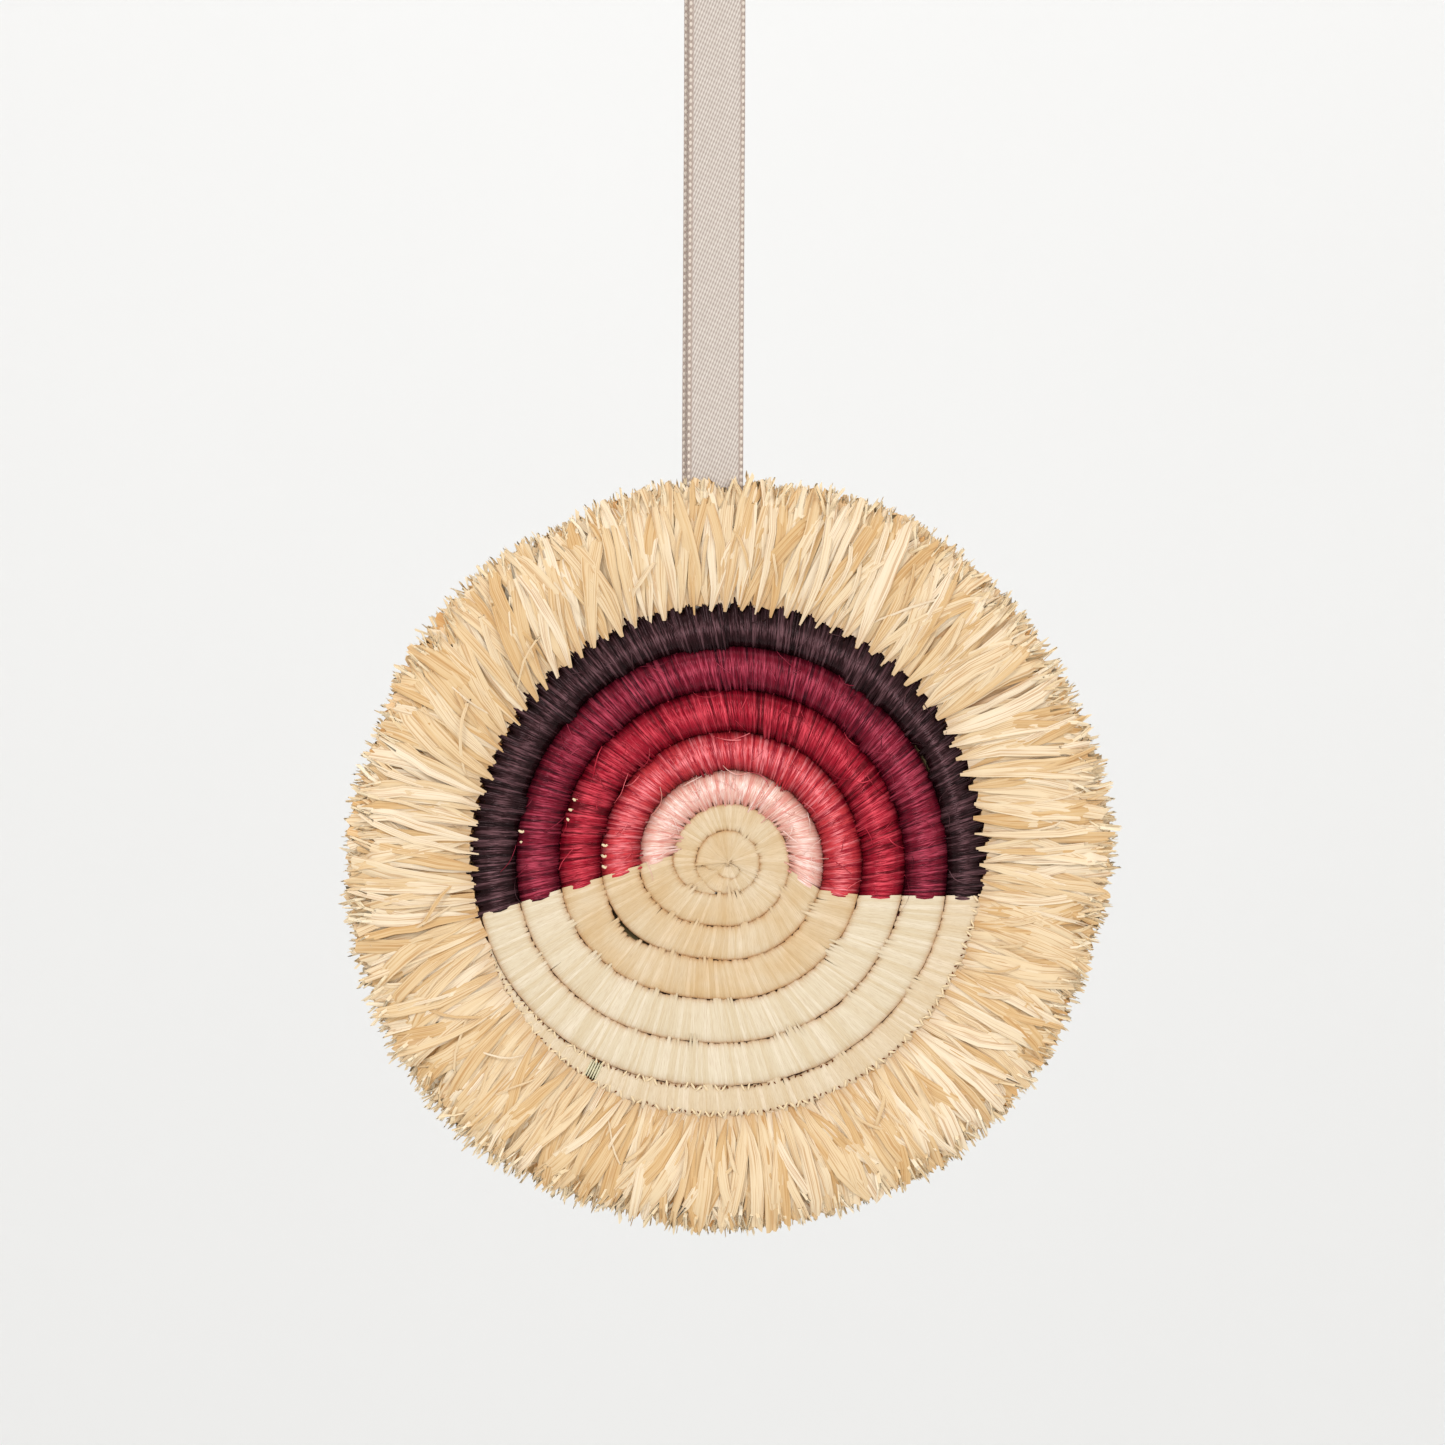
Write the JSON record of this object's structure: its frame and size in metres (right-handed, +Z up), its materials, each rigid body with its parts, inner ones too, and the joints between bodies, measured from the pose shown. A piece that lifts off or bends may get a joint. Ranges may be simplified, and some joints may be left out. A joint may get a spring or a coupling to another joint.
{
  "type": "basket ornament",
  "caption": "Flat coiled raffia basket disc, upper half dyed in bands from pink to plum, with a raffia fringe round the rim and a satin ribbon loop to hang it by.",
  "frame": {"origin": "inside the top of the ribbon loop, where the ornament hangs, on the middle of the ribbon's width", "axes": "+Z up, -Y towards the front of the disc, +X to the right as seen from the front"},
  "size_m": [0.0991, 0.0108, 0.1716],
  "materials": {
    "natural_raffia": "matte, fine radial raffia stitches",
    "pink_raffia": "satin sheen, fine dyed raffia",
    "coral_raffia": "satin sheen, fine dyed raffia",
    "crimson_raffia": "satin sheen, fine dyed raffia",
    "burgundy_raffia": "satin sheen, fine dyed raffia",
    "plum_raffia": "satin sheen, fine dyed raffia",
    "fringe_raffia": "matte, cut raffia blades",
    "satin_ribbon": "woven satin with beaded selvedges"
  },
  "bodies": {
    "root": {"natural_coil": "natural_raffia", "pink_row": "pink_raffia", "coral_row": "coral_raffia", "crimson_row": "crimson_raffia", "burgundy_row": "burgundy_raffia", "plum_row": "plum_raffia", "raffia_fringe": "fringe_raffia", "ribbon_loop": "satin_ribbon"}
  },
  "joints": []
}
